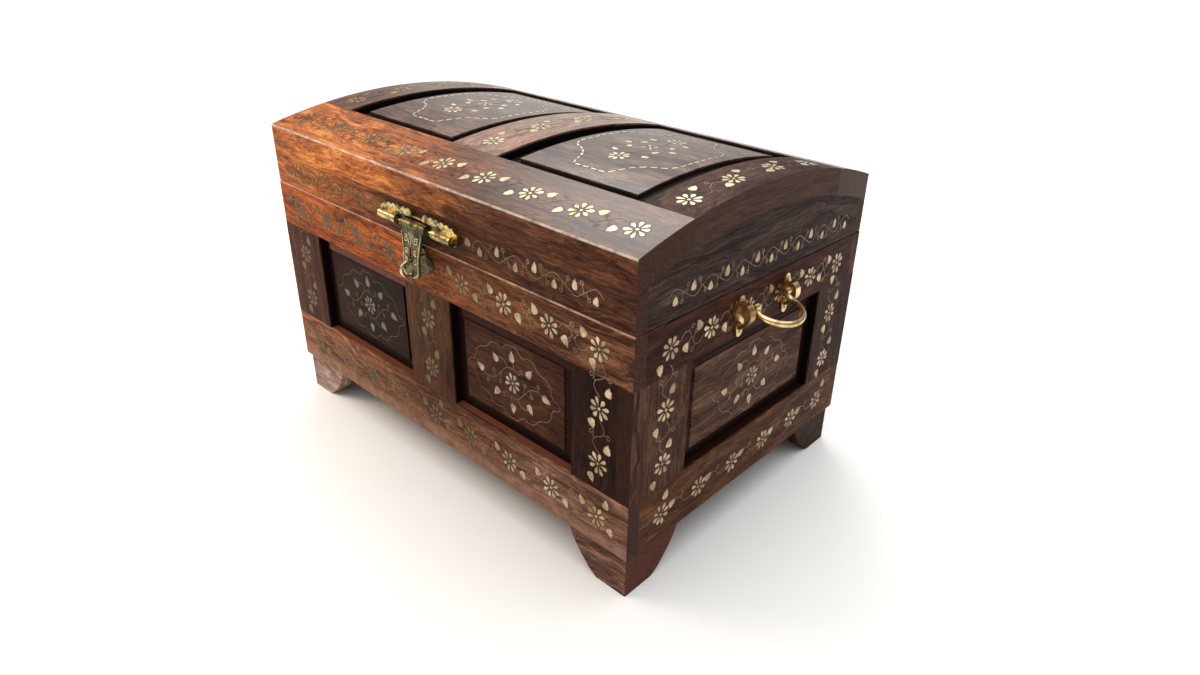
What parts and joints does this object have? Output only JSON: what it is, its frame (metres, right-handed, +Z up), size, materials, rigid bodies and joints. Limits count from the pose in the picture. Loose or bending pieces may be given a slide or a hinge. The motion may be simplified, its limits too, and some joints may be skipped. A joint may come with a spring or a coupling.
{
  "type": "domed storage chest",
  "caption": "Small domed wooden dowry chest with framed raised panels, brass inlay, hinged lid, hasp and swinging end handles, on bracket feet.",
  "frame": {"origin": "on the floor plane, under the middle of the case's footprint", "axes": "+X along the length towards the right end, -Y out of the front with the hasp, +Z up"},
  "size_m": [0.5059, 0.333, 0.301],
  "materials": {
    "frame_wood": "polished sheesham, warm brown with dark grain",
    "panel_wood": "darker polished sheesham",
    "brass": "cast and polished brass"
  },
  "bodies": {
    "case": {"front_bottom_rail": "frame_wood", "front_top_rail": "frame_wood", "front_left_stile": "frame_wood", "front_middle_stile": "frame_wood", "front_right_stile": "frame_wood", "front_left_panel": "panel_wood", "front_right_panel": "panel_wood", "back_bottom_rail": "frame_wood", "back_top_rail": "frame_wood", "back_right_stile": "frame_wood", "back_middle_stile": "frame_wood", "back_left_stile": "frame_wood", "back_right_panel": "panel_wood", "back_left_panel": "panel_wood", "right_bottom_rail": "frame_wood", "right_top_rail": "frame_wood", "right_front_stile": "frame_wood", "right_back_stile": "frame_wood", "right_panel": "panel_wood", "left_bottom_rail": "frame_wood", "left_top_rail": "frame_wood", "left_back_stile": "frame_wood", "left_front_stile": "frame_wood", "left_panel": "panel_wood", "floor_board": "frame_wood", "foot_front_left": "frame_wood", "foot_front_right": "frame_wood", "foot_back_left": "frame_wood", "foot_back_right": "frame_wood", "hinge_left_case_leaf": "brass", "hinge_right_case_leaf": "brass", "hinge_pins": "brass", "hinge_case_screws": "brass", "hasp_staple": "brass", "handle_right_front_post": "brass", "handle_right_back_post": "brass", "handle_left_front_post": "brass", "handle_left_back_post": "brass", "handle_screws": "brass"},
    "lid": {"lid_front_board": "frame_wood", "lid_back_board": "frame_wood", "lid_right_end_board": "frame_wood", "lid_left_end_board": "frame_wood", "lid_front_rail": "frame_wood", "lid_back_rail": "frame_wood", "lid_left_rib": "frame_wood", "lid_middle_rib": "frame_wood", "lid_right_rib": "frame_wood", "lid_left_panel": "panel_wood", "lid_right_panel": "panel_wood", "hinge_left_lid_leaf": "brass", "hinge_right_lid_leaf": "brass", "hinge_lid_screws": "brass", "hasp_lid_plate": "brass", "hasp_screws": "brass", "hasp_pin": "brass"},
    "hasp": {"hasp_leaf": "brass", "hasp_pull_ring": "brass"},
    "right_bail": {"handle_right_bail": "brass"},
    "left_bail": {"handle_left_bail": "brass"}
  },
  "joints": [
    {"name": "lid_hinge", "type": "hinge", "parent": "case", "child": "lid", "pos_m": [0, 0.156, 0.22455], "axis": [-1, 0, 0], "range_deg": [0, 105]},
    {"name": "hasp_hinge", "type": "hinge", "parent": "lid", "child": "hasp", "pos_m": [0, -0.1567, 0.2393], "axis": [-1, 0, 0], "range_deg": [-13, 135]},
    {"name": "right_bail_swing", "type": "hinge", "parent": "case", "child": "right_bail", "pos_m": [0.2358, 0, 0.2073], "axis": [0, -1, 0], "range_deg": [-68, 83]},
    {"name": "left_bail_swing", "type": "hinge", "parent": "case", "child": "left_bail", "pos_m": [-0.2358, 0, 0.2073], "axis": [0, 1, 0], "range_deg": [0, 151]}
  ]
}
